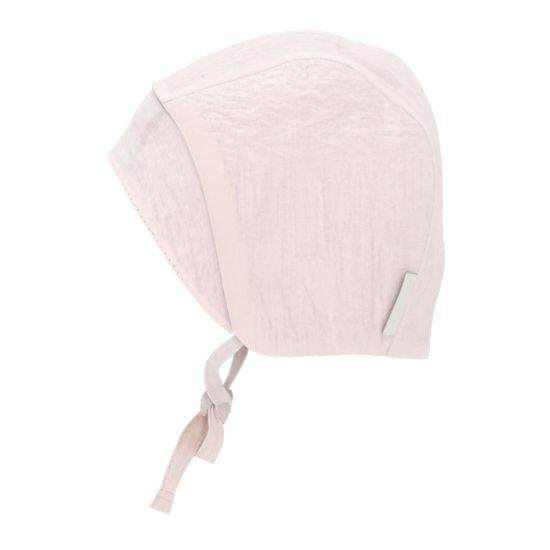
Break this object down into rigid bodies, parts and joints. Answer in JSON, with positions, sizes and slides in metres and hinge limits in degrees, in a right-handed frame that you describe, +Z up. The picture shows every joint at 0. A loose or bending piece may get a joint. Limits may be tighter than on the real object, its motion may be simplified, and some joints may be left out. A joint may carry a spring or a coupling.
{
  "type": "baby bonnet",
  "caption": "Soft two-layer gauze bonnet: side panels joined by a centre gusset, a small pointed brim, and flat chin ties knotted in a half bow",
  "frame": {"origin": "the inside of the crown's highest place on the mid-plane, where the top of the head touches it", "axes": "+Z up; the face opening looks along -Y and the nape is at +Y; +X is the wearer's left, the side that carries the seam label"},
  "size_m": [0.119, 0.1762, 0.252],
  "materials": {
    "gauze": "matt pale pink crinkled double gauze",
    "tie_gauze": "matt pale pink double gauze, folded and stitched flat",
    "label_tape": "cream woven tape, left bare"
  },
  "bodies": {
    "root": {"gusset": "gauze", "left_side_panel": "gauze", "right_side_panel": "gauze", "brim": "gauze", "left_tie": "tie_gauze", "right_tie": "tie_gauze", "tie_knot": "tie_gauze", "bow_loop": "tie_gauze", "tie_tail": "tie_gauze", "seam_label": "label_tape"}
  },
  "joints": []
}
